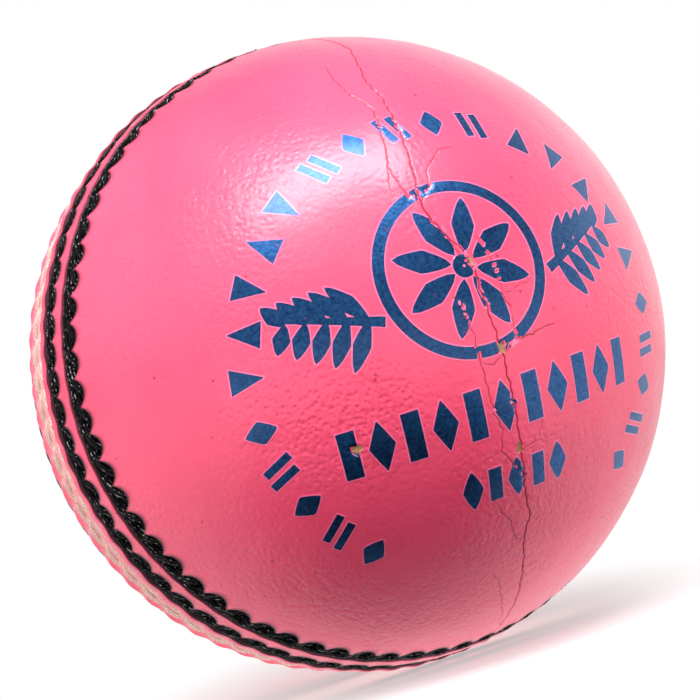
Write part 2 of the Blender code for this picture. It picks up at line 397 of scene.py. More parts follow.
def cup_relief(across, up, side, rows, segments):
    """Height over the nominal skin and the masks (stain, faded, cut, bare) of positions on a cup. Stain is
    part wax stain and part painted shade in the thread channels and pits; the others are wear masks.
    """
    arc = arc_from_join(across, up)
    turns = np.arctan2(up, across) / TURN * STITCHES
    inner, middle, outer = rows
    height = hide_relief(across, up, arc, rows)
    # stain: wax stain beside the black rows, and painted shade inside their channels and pits.
    stain = np.zeros_like(arc)
    for row in rows:
        channel, mark = row_relief(arc, turns, row)
        height += channel
        if row is not inner:
            stain = np.maximum(stain, mark)
    height += land_relief(arc, turns, inner, middle, INNER_LAND_PULL)
    height += land_relief(arc, turns, middle, outer, OUTER_LAND_PULL)
    if side == FRONT:
        crack, share = nearest_crack(across, up, segments)
        to_join = abs(across - join_across(up))
        join_share = 1
    else:
        crack, share = np.zeros_like(arc), np.full_like(arc, NO_CRACK)
        to_join = abs(up)
        join_share = REAR_JOIN_SHARE
    open_join = smooth((arc - outer.arc - 1.5 * MM) / (3 * MM))
    join_cut = groove(to_join, JOIN_WIDTH, JOIN_DEPTH * join_share) * open_join
    crack = np.where(abs(join_cut) > abs(crack), join_cut, crack)
    share = np.minimum(share, np.where(open_join > 0.3, to_join / JOIN_WIDTH, NO_CRACK))
    bare = np.zeros_like(arc)
    if side == FRONT:
        depth, bare = pit_relief(across, up)
        crack = np.minimum(crack, -depth)
    faded = 1 - smooth((arc - inner.arc - FADED_ARC) / (1.1 * MM))
    return height + crack, stain, faded, np.clip(1.25 - share, 0, 1), bare


# ---------------------------------------------------------------- leather quarters


def cup_latitudes():
    """Arc lengths from the join of the mesh rows of a cup, close together where the rows are sewn."""
    band = np.arange(JOIN_GAP, BAND_ARC, BAND_STEP)
    cap_count = round((TO_POLE - BAND_ARC) / CAP_STEP)
    return np.concatenate([band, np.linspace(BAND_ARC, TO_POLE, cap_count + 1)[:-1]])


def columns_at(arc):
    """Columns of a whole mesh row: fewer over the plain cap and near the pole."""
    columns = BAND_COLUMNS
    latitude = arc / BALL_RADIUS
    for limit in (BAND_ARC / BALL_RADIUS, *COARSER_LATITUDES):
        if latitude >= limit - 1e-9:
            columns //= 2
    return columns


def flat_half(start_longitude):
    """Half a cup laid flat about its pole, half a turn from a longitude: positions and faces."""
    points, quads, triangles = [], [], []
    before = None
    first = 0
    for arc in cup_latitudes():
        count = columns_at(arc) // 2
        longitude = start_longitude + np.linspace(0, math.pi, count + 1)
        points.append((TO_POLE - arc) * np.stack([np.cos(longitude), np.sin(longitude)], axis=1))
        if before is not None:
            add_row(quads, triangles, before, (first, count))
        before = (first, count)
        first += count + 1
    points.append(np.zeros((1, 2)))
    k = before[0] + np.arange(before[1])
    triangles.append(np.stack([k, k + 1, np.full_like(k, first)], axis=1))
    return np.concatenate(points), face_set(np.concatenate(quads), np.concatenate(triangles))


def add_row(quads, triangles, lower, upper):
    """Faces between two mesh rows. The upper row has as many columns as the lower one, or half as many."""
    low, low_count = lower
    high, high_count = upper
    k = np.arange(high_count)
    if low_count == high_count:
        quads.append(np.stack([low + k, low + k + 1, high + k + 1, high + k], axis=1))
        return
    left = low + 2 * k
    triangles.append(np.stack([left, left + 1, high + k], axis=1))
    triangles.append(np.stack([left + 1, high + k + 1, high + k], axis=1))
    triangles.append(np.stack([left + 1, left + 2, high + k + 1], axis=1))


def face_set(*groups):
    """Faces as (corners, sizes), from arrays that each hold faces with one number of corners."""
    corners = np.concatenate([np.asarray(group).ravel() for group in groups])
    sizes = np.concatenate([np.full(len(group), np.shape(group)[1]) for group in groups])
    return corners.astype(np.int32), sizes.astype(np.int32)


def wandered(points):
    """The flat front cup with its straight middle line bent on to the join."""
    across, up = points.T
    pull = np.exp(-((across / (9 * MM)) ** 2))
    return np.stack([across + join_across(up) * pull, up], axis=1)


def column(items, name, width=1, kind=np.int32):
    """One property of every vertex, edge, loop or face, as a flat array."""
    values = np.empty(width * len(items), kind)
    items.foreach_get(name, values)
    return values


def refined(points, faces, near):
    """The flat mesh with small faces wherever near(across, up) holds, and its border."""
    mesh = new_mesh("flat", np.pad(points, ((0, 0), (0, 1))), faces)
    ends = column(mesh.edges, "vertices", 2).reshape(-1, 2)
    close = near(*points.T)[ends].any(axis=1)
    shape = bmesh.new()
    shape.from_mesh(mesh)
    shape.edges.ensure_lookup_table()
    chosen = [shape.edges[k] for k in np.flatnonzero(close)]
    bmesh.ops.subdivide_edges(shape, edges=chosen, cuts=CRACK_CUTS, use_grid_fill=True, use_single_edge=True)
    shape.to_mesh(mesh)
    shape.free()
    spots = column(mesh.vertices, "co", 3, np.float32)
    corners = column(mesh.loops, "vertex_index")
    sizes = column(mesh.polygons, "loop_total")
    bpy.data.meshes.remove(mesh)
    return spots.reshape(-1, 3)[:, :2].astype(float), (corners, sizes), border_loop(corners, sizes)


def border_loop(corners, sizes):
    """The closed loop of corners round the open border of a mesh."""
    starts = np.cumsum(sizes) - sizes
    following = np.arange(1, len(corners) + 1)
    following[starts + sizes - 1] = starts
    here = corners.astype(np.int64)
    there = here[following]
    span = here.max() + 1
    single = ~np.isin(here * span + there, there * span + here)
    step = dict(zip(here[single].tolist(), there[single].tolist()))
    loop = [next(iter(step))]
    while step[loop[-1]] != loop[0]:
        loop.append(step[loop[-1]])
    return np.array(loop)


def lining(flat, border):
    """The inner face of a quarter: its flat positions (the border comes first) and triangles."""
    edge = flat[border]
    count = len(edge)
    steps = np.arange(-LINING_REACH, LINING_REACH, LINING_STEP)
    grid = np.array([(x, y) for x in steps for y in steps])
    gaps = np.array([np.hypot(*(edge[::6] - point).T).min() for point in grid])
    points = [Vector(point) for point in np.concatenate([edge, grid[gaps > LINING_STEP / 2]])]
    closed = [(k, (k + 1) % count) for k in range(count)]
    _, _, triangles, sources, *_ = delaunay_2d_cdt(points, closed, [], 1, 1e-9)
    place = [min(source) for source in sources]
    used = {place[k] for tri in triangles for k in tri}
    kept = [k for k in range(len(points)) if k < count or k in used]
    order = {k: n for n, k in enumerate(kept)}
    spots = np.array([tuple(points[k]) for k in kept])
    return spots, [[order[place[k]] for k in tri] for tri in triangles]


def near_worn(side, segments, outer):
    """A test for flat positions that lie beside a crack, a pit or the open join."""
    def test(across, up):
        clear = arc_from_join(across, up) > outer.arc + 1.2 * MM
        if side == REAR:
            return clear & (abs(up) < CRACK_REACH * 0.5)
        close = abs(across - join_across(up)) < CRACK_REACH
        middles = (segments[0] + segments[1]) / 2
        worn = np.flatnonzero(clear & (abs(across) < WORN_WIDTH))
        for middle in middles:
            close[worn] |= np.hypot(across[worn] - middle[0], up[worn] - middle[1]) < CRACK_REACH
        for pit in PITS:
            reach = pit.half_height * MM + CRACK_REACH
            close |= np.hypot(across - pit.across * MM, up - pit.up * MM) < reach
        return clear & close

    return test


def leather_quarter(name, node, side, start_longitude, rows, segments):
    """One closed quarter: sculpted skin, walls along the join and the split, and a plain inner face."""
    points, faces = flat_half(start_longitude)
    if side == FRONT:
        points = wandered(points)
    flat, faces, border = refined(points, faces, near_worn(side, segments, rows[2]))
    height, *masks = cup_relief(flat[:, 0], flat[:, 1], side, rows, segments)
    skin = on_cup(flat[:, 0], flat[:, 1], side, height)
    spots, triangles = lining(flat, border)
    inside = on_cup(spots[:, 0], spots[:, 1], side, -LEATHER_THICKNESS)
    base = len(skin) + np.arange(len(border))
    walls = np.stack([np.roll(border, -1), border, base, np.roll(base, -1)], axis=1)
    back = len(skin) + np.array(triangles)[:, ::-1]
    rest = face_set(walls, back)
    whole = tuple(np.concatenate(pair) for pair in zip(faces, rest))
    quarter = add_object(name, new_mesh(name, np.concatenate([skin, inside]), whole), "pink_leather")
    pad = np.zeros(len(inside))
    # The stain mask holds painted shade for the thread channels and pits as well as wax stain.
    for mask_name, values in zip(("stain", "faded", "cut", "bare"), masks):
        add_mask(quarter, mask_name, np.concatenate([values, pad]))
    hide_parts(node)


def new_mesh(name, points, faces, uv=None):
    """A mesh of points and (corners, sizes) faces."""
    corners, sizes = faces
    mesh = bpy.data.meshes.new(name)
    mesh.vertices.add(len(points))
    mesh.vertices.foreach_set("co", np.asarray(points, np.float32).ravel())
    mesh.loops.add(len(corners))
    mesh.loops.foreach_set("vertex_index", corners)
    mesh.polygons.add(len(sizes))
    mesh.polygons.foreach_set("loop_start", (np.cumsum(sizes) - sizes).astype(np.int32))
    mesh.update(calc_edges=True)
    if uv is not None:
        mesh.uv_layers.new(name="thread").data.foreach_set("uv", uv.astype(np.float32).ravel())
    return mesh


def face_outwards(mesh):
    """Turns a closed mesh whose faces all look inwards."""
    mesh.calc_loop_triangles()
    points = column(mesh.vertices, "co", 3, np.float32).reshape(-1, 3)
    triangles = column(mesh.loop_triangles, "vertices", 3).reshape(-1, 3)
    a, b, c = points[triangles].astype(float).transpose(1, 0, 2)
    if (a * np.cross(b, c)).sum() < 0:
        mesh.flip_normals()


def add_object(name, mesh, material):
    """A smooth-shaded piece that rides on the ball, in one of the finishes made here."""
    face_outwards(mesh)
    mesh.shade_smooth()
    mesh.set_sharp_from_angle(angle=SHARP_EDGE)
    mesh.materials.append(MATERIALS[material])
    made = bpy.data.objects.new(name, mesh)
    bpy.context.scene.collection.objects.link(made)
    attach(made, "root")
    return made


def add_mask(made, name, values):
    """One number a vertex, for the material to read."""
    attribute = made.data.attributes.new(name, "FLOAT", "POINT")
    attribute.data.foreach_set("value", values.astype(np.float32))


def build_leather(rows, segments):
    """The four quarters of the two cups."""
    quarters = (
        ("left_front", "front_left", FRONT, math.pi / 2),
        ("right_front", "front_right", FRONT, -math.pi / 2),
        ("upper_rear", "rear_upper", REAR, 0),
        ("lower_rear", "rear_lower", REAR, math.pi),
    )
    for name, node, side, longitude in quarters:
        leather_quarter(f"{name}_leather", f"{node}_leather_quarter", side, longitude, rows, segments)


# ---------------------------------------------------------------- thread


def tube_faces(samples, sides, closed):
    """The four-sided faces of a tube, ring after ring."""
    here = np.arange(samples if closed else samples - 1)[:, None] * sides
    there = (here + sides) % (samples * sides)
    k = np.arange(sides)[None]
    after = (k + 1) % sides
    return np.stack([here + k, here + after, there + after, there + k], axis=-1).reshape(-1, 4)


def swept(centre, normal, section, along):
    """A closed tube: points, faces and UVs (round the thread, millimetres along it)."""
    ahead = np.roll(centre, -1, axis=0) - np.roll(centre, 1, axis=0)
    ahead /= np.linalg.norm(ahead, axis=1, keepdims=True)
    normal = normal - (normal * ahead).sum(axis=1, keepdims=True) * ahead
    normal /= np.linalg.norm(normal, axis=1, keepdims=True)
    aside = np.cross(ahead, normal)
    points = centre[:, None] + section[..., :1] * aside[:, None] + section[..., 1:] * normal[:, None]
    samples, sides = section.shape[:2]
    share = np.broadcast_to(np.arange(sides)[None] / sides, (samples, sides))
    next_share = share + 1 / sides
    start = np.broadcast_to(along[:-1, None] / MM, (samples, sides))
    end = np.broadcast_to(along[1:, None] / MM, (samples, sides))
    uv = np.stack([np.stack([share, start], -1), np.stack([next_share, start], -1),
                   np.stack([next_share, end], -1), np.stack([share, end], -1)], axis=2)
    return points.reshape(-1, 3), tube_faces(samples, sides, True), uv.reshape(-1, 2)


def ply_section(along, strand, lay, flatten):
    """A two-ply section that turns once a lay."""
    around = np.linspace(0, TURN, THREAD_SIDES, endpoint=False)
    twist = TURN * along[:, None] / lay
    radius = strand * (1 + PLY_DEPTH * (2 * abs(np.cos(around[None] - twist)) - 1))
    return np.stack([radius * np.cos(around), flatten * radius * np.sin(around)], axis=-1)


def sewn_line(arc, longitude, side, height):
    """A line round the ball: its points, the directions out of the skin there, and lengths along it."""
    reach = TO_POLE - arc
    across = reach * np.cos(longitude)
    up = reach * np.sin(longitude)
    centre = on_cup(across, up, side, height)
    normal = on_cup(across, up, side) / BALL_RADIUS
    steps = np.linalg.norm(np.roll(centre, -1, axis=0) - centre, axis=1)
    return centre, normal, np.concatenate([[0], np.cumsum(steps)])


def stitch_coil(row, side, seed):
    """The thread of one row: a flattened coil, over the leather as a slanted stitch and back beneath it."""
    rng = np.random.default_rng(seed)
    turns = np.arange(STITCHES * COIL_SAMPLES) / COIL_SAMPLES
    knots = np.arange(STITCHES + 1)
    loose = {}
    for key, spread in LOOSENESS:
        values = rng.uniform(-spread, spread, STITCHES)
        loose[key] = np.interp(turns, knots, np.append(values, values[0]))
    phase = TURN * turns
    advance = STITCH_ADVANCE * (1 + loose["advance"])
    longitude = TURN * (turns + loose["place"] + row.shift - advance * np.cos(phase)) / STITCHES
    arc = row.arc + row.lean - row.swing * (1 + loose["swing"]) * np.cos(phase)
    height = row.crown - row.strand - row.rise + row.rise * (1 + loose["rise"]) * np.sin(phase)
    centre, normal, along = sewn_line(arc, longitude, side, height)
    lay = along[-1] / round(along[-1] / row.lay)
    section = ply_section(along[:-1], row.strand, lay, 0.94) * (1 + loose["strand"])[:, None, None]
    return swept(centre, normal, section, along)


def stitch_runner(row, side, seed):
    """The second waxed thread, laid along the side of the row next to the join."""
    rng = np.random.default_rng(seed)
    turns = np.arange(STITCHES * RUNNER_SAMPLES) / RUNNER_SAMPLES
    knots = np.resize(rng.uniform(-RUNNER_SAG, RUNNER_SAG, STITCHES), STITCHES + 1)
    sag = np.interp(turns, np.arange(STITCHES + 1), knots)
    wave = np.cos(TURN * (turns - row.shift + 0.1))
    arc = row.arc - row.runner_offset + RUNNER_WAVE * wave + sag * MM
    height = row.runner_crown - row.runner_strand + RUNNER_BOB * wave
    centre, normal, along = sewn_line(arc, TURN * turns / STITCHES, side, height)
    lay = along[-1] / round(along[-1] / RUNNER_LAY)
    return swept(centre, normal, ply_section(along[:-1], row.runner_strand, lay, 1.0), along)


def loose_fibres(row, side, seed):
    """Short fine hairs that stand out of a row of thread, each a tapered four-sided rod."""
    rng = np.random.default_rng(seed)
    root_turns = rng.uniform(0, STITCHES, FIBRES)
    offset = rng.uniform(-0.6, 1.5, FIBRES) * MM
    length = rng.uniform(0.35, 1.1, FIBRES) * MM
    lean = rng.normal([[0.45], [0]], 0.7, (2, FIBRES))
    curl = rng.normal(0, 0.45, (2, FIBRES))
    steps = np.linspace(0, 1, FIBRE_RINGS)[:, None]
    drift = length * (lean[:, None] * steps + curl[:, None] * steps ** 2)
    reach = TO_POLE - (row.arc + offset + drift[0])
    longitude = TURN * root_turns / STITCHES + drift[1] / BALL_RADIUS
    flat = reach * np.cos(longitude), reach * np.sin(longitude)
    out = length * (steps * 0.55 - 0.30 * steps ** 2)
    centre = on_cup(*flat, side, row.crown - 0.25 * MM + out)
    normal = on_cup(*flat, side) / BALL_RADIUS
    along = np.cross(normal, (0, 1, 0))
    across = np.cross(normal, along)
    thick = FIBRE_THICKNESS * (1 - 0.7 * steps)[..., None]
    corners = (along, across, -along, -across)
    rings = np.stack([centre + thick * corner for corner in corners], axis=2)
    points = rings.transpose(1, 0, 2, 3).reshape(-1, 3)
    last = (FIBRE_RINGS - 1) * 4
    ends = [[3, 2, 1, 0], [last, last + 1, last + 2, last + 3]]
    one = np.concatenate([tube_faces(FIBRE_RINGS, 4, False), ends])
    faces = (np.arange(FIBRES)[:, None, None] * FIBRE_RINGS * 4 + one).reshape(-1, 4)
    return points, faces, np.zeros((faces.size, 2))


def merged(parts):
    """Several (points, four-sided faces, values) as one."""
    bases = np.cumsum([0] + [len(part[0]) for part in parts[:-1]])
    points = np.concatenate([part[0] for part in parts])
    faces = np.concatenate([base + part[1] for base, part in zip(bases, parts)])
    return points, faces, np.concatenate([part[2] for part in parts])


def sewn_rows():
    """The inner, middle and outer rows, where the CAD frame has them."""
    natural = SewnRow(
        arc=row_arc("front_inner_stitch_row"), shift=0.13, strand=0.62 * MM, swing=0.72 * MM,
        lean=0.42 * MM, rise=0.36 * MM, crown=0.10 * MM, lay=1.3 * MM,
        notch=1.1 * MM, scallop=1.9 * MM, channel=0.45 * MM,
        runner_offset=0, runner_strand=0, runner_crown=0,
    )
    waxed = natural._replace(
        arc=row_arc("front_outer_stitch_row"), shift=0.0, strand=0.58 * MM, swing=0.62 * MM,
        lean=0.16 * MM, rise=0.52 * MM, crown=0.05 * MM, lay=1.5 * MM,
        notch=0.35 * MM, scallop=1.98 * MM, channel=0.85 * MM,
        runner_offset=0.62 * MM, runner_strand=0.48 * MM, runner_crown=0.02 * MM,
    )
    middle = waxed._replace(arc=row_arc("front_middle_stitch_row"), shift=0.35)
    return natural, middle, waxed


def build_threads(rows):
    """Six rows of stitches, three a cup."""
    names = ("inner", "middle", "outer")
    for side, cup in ((FRONT, "front"), (REAR, "rear")):
        for number, (row, row_name) in enumerate(zip(rows, names)):
            seed = ROW_SEED + 3 * side + number
            parts = [stitch_coil(row, side, seed)]
            if row.runner_strand > 0:
                parts.append(stitch_runner(row, side, seed + 10))
            parts.append(loose_fibres(row, side, seed + 20))
            points, faces, uv = merged(parts)
            slot = "natural_thread" if row_name == "inner" else "black_waxed_thread"
            name = f"{row_name}_{cup}_stitching"
            thread = add_object(name, new_mesh(name, points, face_set(faces), uv), slot)
            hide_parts(f"{cup}_{row_name}_stitch_row")


# ---------------------------------------------------------------- foil stamp


def stamp_to_cup(points):
    """Stamp positions (right, up from its centre) as flat positions on the front cup."""
    right, up = np.asarray(points).T
    turn_cos = math.cos(STAMP_TURN)
    turn_sin = math.sin(STAMP_TURN)
    across = STAMP_CENTRE[0] + right * turn_cos - up * turn_sin
    return across, STAMP_CENTRE[1] + right * turn_sin + up * turn_cos


def ribbon(path, widths, closed, segments, rows, grow, rise):
    """A thin strip of foil on the leather along a path of stamp positions, with a width at each point."""
    line, ahead, half = ribbon_line(np.asarray(path, float), np.asarray(widths, float), closed)
    half = half + grow
    if not closed:
        line[0] -= ahead[0] * grow
        line[-1] += ahead[-1] * grow
    aside = np.stack([-ahead[:, 1], ahead[:, 0]], axis=1)
    lanes = max(3, math.ceil(2 * half.max() / FOIL_STEP) + 1)
    shares = np.linspace(-1, 1, lanes)
    top = line[:, None] + aside[:, None] * (shares[None, :, None] * half[:, None, None])
    across, up = stamp_to_cup(top.reshape(-1, 2))
    height, _, _, cut, bare = cup_relief(across, up, FRONT, rows, segments)
    lift = np.where(np.maximum(cut, bare) > FOIL_BREAK, -FOIL_SINK, rise)
    upper = on_cup(across, up, FRONT, height + lift).reshape(-1, lanes, 3)
    lower = on_cup(across, up, FRONT, height - 2 * FOIL_SINK).reshape(-1, lanes, 3)[:, ::-1]
    rings = np.concatenate([upper, lower], axis=1)
    samples, sides = rings.shape[:2]
    faces = tube_faces(samples, sides, closed)
    if not closed:
        k = np.arange(lanes - 1)
        start = np.stack([k + 1, k, sides - 1 - k, sides - 2 - k], axis=1)
        end = (samples - 1) * sides + start[:, ::-1]
        faces = np.concatenate([faces, start, end])
    return rings.reshape(-1, 3), faces, np.zeros(1)


def ribbon_line(path, widths, closed):
    """Even samples of a path: positions, directions and half widths."""
    if closed:
        path = np.concatenate([path, path[:1]])
        widths = np.concatenate([widths, widths[:1]])
    along = np.concatenate([[0], np.cumsum(np.hypot(*np.diff(path, axis=0).T))])
    count = max(4, round(along[-1] / FOIL_STEP))
    samples = np.linspace(0, along[-1], count + 1)
    if closed:
        samples = samples[:-1]
    line = np.stack([np.interp(samples, along, path[:, k]) for k in (0, 1)], axis=1)
    if closed:
        ahead = np.roll(line, -1, axis=0) - np.roll(line, 1, axis=0)
    else:
        ahead = np.gradient(line, axis=0)
    ahead /= np.hypot(*ahead.T)[:, None]
    return line, ahead, np.interp(samples, along, widths) / 2


def heading(angle):
    """The unit vector at an angle."""
    return np.array([math.cos(angle), math.sin(angle)])


def bar(centre, tilt, length, width):
    """A straight bar: path, widths, and whether it is closed."""
    step = heading(tilt) * length / 2
    return [np.array(centre) - step, np.array(centre) + step], [width, width], False


def tapered(centre, tilt, length, width, power):
    """A pointed shape, widest in the middle: a lozenge at power 1, a leaf at about 0.6."""
    shares = np.linspace(0, 1, 13)
    path = np.array(centre) + (shares[:, None] - 0.5) * heading(tilt) * length
    widths = np.maximum(width * (1 - abs(2 * shares - 1)) ** power, 0.06 * MM)
    return path, widths, False


def wedge(centre, tilt, length, width):
    """A triangle that narrows along its length."""
    path, _, _ = bar(centre, tilt, length, width)
    return path, [width, 0.08 * MM], False


def hoop(centre, radius, width):
    """A closed ring."""
    around = np.linspace(0, TURN, HOOP_POINTS, endpoint=False)
    path = centre + radius * np.stack([np.cos(around), np.sin(around)], axis=1)
    return path, np.full(HOOP_POINTS, width), True


def ring_marks():
    """Twenty-five small plain marks round the stamp, in five groups, open at the bottom."""
    tall = 3.3 * MM
    shapes = []
    for number in range(25):
        group = number // 5
        angle = math.radians(228 - 11.1 * number - 2.4 * group)
        spot = RING_RADIUS * heading(angle)
        kind = (2 * number + group) % 4
        if kind == 0:
            shapes.append(tapered(spot, angle, tall, 2.5 * MM, 0.8))
        elif kind == 2:
            for shift in (-0.75 * MM, 0.75 * MM):
                aside = heading(angle + math.pi / 2) * shift
                shapes.append(bar(spot + aside, angle + 0.25, tall, 0.85 * MM))
        else:
            inwards = math.pi if kind == 3 else 0
            shapes.append(wedge(spot, angle + inwards, tall, 2.7 * MM))
    return shapes


def rosette():
    """The centre device: a petalled rosette in a ring between two leafy sprays."""
    centre = np.array([0, 7.4 * MM])
    shapes = [hoop(centre, 8.2 * MM, 1.15 * MM)]
    for k in range(8):
        angle = TURN * k / 8 + math.pi / 8
        shapes.append(tapered(centre + 4.1 * MM * heading(angle), angle, 5.6 * MM, 2.3 * MM, 0.6))
    shapes.append(hoop(centre, 0.65 * MM, 1.0 * MM))
    for side in (-1, 1):
        for k in range(5):
            stem = centre + np.array([side * (10.4 + 1.85 * k), 0.55 * k - 1.9]) * MM
            size = (5.2 - 0.55 * k) * MM
            for bend in (-1, 1):
                tilt = math.pi / 2 - side * math.pi / 2 + side * bend
                shapes.append(tapered(stem + heading(tilt) * size * 0.48, tilt, size, 1.75 * MM, 0.6))
        ends = [centre + np.array(end) * MM for end in ((side * 9.0, -2.6), (side * 19.2, 1.2))]
        shapes.append((ends, [1.0 * MM, 0.3 * MM], False))
    return shapes


def upright_marks(count, pitch, shift, level, *kinds):
    """A level row of upright marks of two kinds in turn, each given as a shape and its sizes."""
    shapes = []
    for k in range(count):
        shape, *sizes = kinds[k % 2]
        spot = ((k - count // 2) * pitch + shift, level)
        shapes.append(shape(spot, math.pi / 2, *sizes))
    return shapes


def build_stamp(rows, segments):
    """Blue foil pressed into the front cup, and a thin raised lip round it whose pale pink is painted
    highlight along the stamp's edges.
    """
    bold = upright_marks(
        11, 3.15 * MM, 0, -6.3 * MM, (bar, 4.8 * MM, 1.75 * MM), (tapered, 5.0 * MM, 2.6 * MM, 0.9))
    small = upright_marks(
        5, 2.5 * MM, 0.3 * MM, -13.7 * MM, (tapered, 4.0 * MM, 2.2 * MM, 0.7), (bar, 3.4 * MM, 1.4 * MM))
    groups = {"ring": ring_marks(), "device": rosette(), "band": bold, "foot": small}
    for name, shapes in groups.items():
        # The lip's pale pink is painted highlight along the stamp's edges.
        layers = ((f"stamp_{name}_foil", "blue_foil", "blue_foil", 0.0, FOIL_RISE),
                  (f"stamp_{name}_lip", "lip_painted_highlight", "pink_leather", RIM_WIDTH, RIM_RISE))
        for piece, material, slot, grow, rise in layers:
            strips = [ribbon(*shape, segments, rows, grow, rise) for shape in shapes]
            points, faces, _ = merged(strips)
            add_object(piece, new_mesh(piece, points, face_set(faces)), material)


# ---------------------------------------------------------------- materials


class Nodes:
    """The nodes of a material or world. An input can be a plain value or another node's output."""

    def __init__(self, owner):
        owner.use_nodes = True
        self.owner = owner
        self.tree = owner.node_tree

    def put(self, kind, settings=(), order=(), **inputs):
        """Adds a node: its settings as a dict, its first inputs in order, and other inputs by name."""
        made = self.tree.nodes.new("ShaderNode" + kind)
        for key, value in dict(settings).items():
            setattr(made, key, value)
        for socket, value in zip(made.inputs, order):
            connect(socket, value)
        connect_all(made, inputs)
        return made

    def surface(self, **inputs):
        """Connects inputs of the Principled node, and gives back the finished material."""
        connect_all(self.tree.nodes["Principled BSDF"], inputs)
        return self.owner

    def spans(self, value, low, high, out_low, out_high):
        """A number moved from one range to another, and held inside it."""
        return self.put("MapRange", (), (value, low, high, out_low, out_high)).outputs[0]

    def calc(self, operation, *numbers):
        """One sum on one or two numbers."""
        return self.put("Math", {"operation": operation}, numbers).outputs[0]

    def measured(self, operation, place, vector=(0, 0, 0)):
        """A number from a vector and a fixed one, such as their distance."""
        return self.put("VectorMath", {"operation": operation}, (place, vector)).outputs["Value"]

    def blended(self, factor, first, second):
        """Two shader nodes mixed."""
        return self.put("MixShader", (), (factor, first.outputs[0], second.outputs[0]))


class Finish(Nodes):
    """A material of the ball, with object coordinates in millimetres."""

    def __init__(self, name):
        super().__init__(bpy.data.materials.new(name))
        self.where = self.millimetres((1, 1, 1))

    def millimetres(self, stretch):
        """Object coordinates in millimetres, stretched along each axis."""
        place = self.put("TexCoord").outputs["Object"]
        return self.put("Mapping", Vector=place, Scale=[s / MM for s in stretch]).outputs[0]

    def noise(self, scale, detail=3.0, roughness=0.5, where=None):
        """Noise with a feature every 1 / scale millimetres."""
        return self.put("TexNoise", Vector=where or self.where, Scale=scale, Detail=detail,
                        Roughness=roughness).outputs[0]

    def cells(self, feature, scale):
        """Distances to the nearest of some scattered points, about 1 / scale millimetres apart."""
        return self.put("TexVoronoi", {"feature": feature}, Vector=self.where,
                        Scale=scale).outputs["Distance"]

    def mask(self, name):
        """A mask stored on the mesh."""
        return self.put("Attribute", {"attribute_name": name}).outputs["Fac"]

    def mixed(self, factor, first, second):
        """Two colours mixed."""
        node = self.put("Mix", {"data_type": "RGBA"}, (factor,))
        connect(node.inputs[6], first)
        connect(node.inputs[7], second)
        return node.outputs[2]

    def bump(self, height, strength, distance, **under):
        """A bump of a given depth, on top of another Normal if there is one."""
        return self.put("Bump", Height=height, Strength=strength, Distance=distance, **under).outputs[0]


def connect(socket, value):
    """Links a socket to another one, or sets it. A colour may leave out its alpha of 1."""
    if isinstance(value, bpy.types.NodeSocket):
        socket.id_data.links.new(value, socket)
    elif socket.type == "RGBA":
        socket.default_value = (*value, 1)
    else:
        socket.default_value = value


def connect_all(node, inputs):
    """Connects a node's inputs by name. Underscores in the names stand for spaces."""
    for key, value in inputs.items():
        connect(node.inputs[key.replace("_", " ")], value)


def pink_leather():
    """Lacquered pink hide: fine pores, soft creases, wax stains by the thread with painted shade in its
    channels and pits, bare tan in the chips.
    """
    look = Finish("pink_leather")
    blotch = look.spans(look.noise(0.09), 0.35, 0.65, 0, 1)
    pink = look.mixed(blotch, (0.91, 0.082, 0.172), (0.86, 0.067, 0.150))
    spots = look.spans(look.cells("F1", 0.42), 0.05, 0.09, 1, 0)
    rare = look.spans(look.noise(0.11, 1), 0.55, 0.62, 0, 1)
    speck = look.calc("MULTIPLY", look.calc("MULTIPLY", spots, rare), 0.75)
    pink = look.mixed(speck, pink, (0.30, 0.008, 0.03))
    fleck = look.spans(look.noise(2.4, 5, 0.7), 0.50, 0.68, 0, 0.42)
    patchy = look.spans(look.noise(0.06, 2), 0.38, 0.62, 0.25, 1.0)
    up = look.put("SeparateXYZ", Vector=look.where).outputs["Z"]
    patchy = look.calc("MULTIPLY", patchy, look.spans(up, -14, 12, 1.0, 0.4))
    pink = look.mixed(look.calc("MULTIPLY", fleck, patchy), pink, (0.62, 0.022, 0.075))
    pink = look.mixed(look.spans(look.mask("faded"), 0, 1, 0, 0.9), pink, (0.87, 0.36, 0.345))
    # The stain mask paints dark magenta beside the black rows, part wax stain and part painted shade, and
    # near black inside their channels and pits, which is painted shade.
    waxed = look.mask("stain")
    pink = look.mixed(look.spans(waxed, 0.10, 0.60, 0, 1), pink, (0.11, 0.001, 0.020))
    pink = look.mixed(look.spans(waxed, 0.60, 0.95, 0, 1), pink, (0.008, 0.002, 0.004))
    pink = look.mixed(look.spans(look.mask("cut"), 0.40, 1.0, 0, 0.8), pink, (0.17, 0.005, 0.022))
    hide = look.mixed(look.noise(5), (0.50, 0.33, 0.15), (0.30, 0.12, 0.05))
    bare = look.mask("bare")
    dull = look.calc("MAXIMUM", bare, waxed)
    scuffed = look.spans(look.noise(0.35, 6, 0.65), 0.35, 0.75, 0.25, 0.29)
    grain = look.spans(look.cells("SMOOTH_F1", 1.9), 0.0, 0.5, 0, 1)
    crease = look.noise(1.1, 6, 0.65, look.millimetres((0.8, 1.0, 0.5)))
    fine = look.bump(look.calc("MULTIPLY", grain, patchy), 0.9, 0.10 * MM)
    relief = look.bump(look.calc("MULTIPLY", crease, patchy), 1.0, 0.19 * MM, Normal=fine)
    return look.surface(
        Base_Color=look.mixed(bare, pink, hide),
        Roughness=look.calc("MAXIMUM", scuffed, look.calc("MULTIPLY", dull, 0.8)),
        Specular_IOR_Level=0.5,
        Coat_Weight=look.spans(dull, 0, 0.6, 0.35, 0),
        Coat_Roughness=0.24,
        Normal=relief,
        Coat_Normal=relief,
    )


def lip_painted_highlight():
    """A thin raised lip round the foil, coloured pale pink: painted highlight along the stamp's edges."""
    look = Finish("lip_painted_highlight")
    return look.surface(
        Base_Color=look.mixed(look.noise(1.5), (0.95, 0.20, 0.36), (0.90, 0.12, 0.28)),
        Roughness=0.2,
        Coat_Weight=0.6,
        Normal=look.bump(look.noise(4), 0.3, 0.03 * MM),
    )


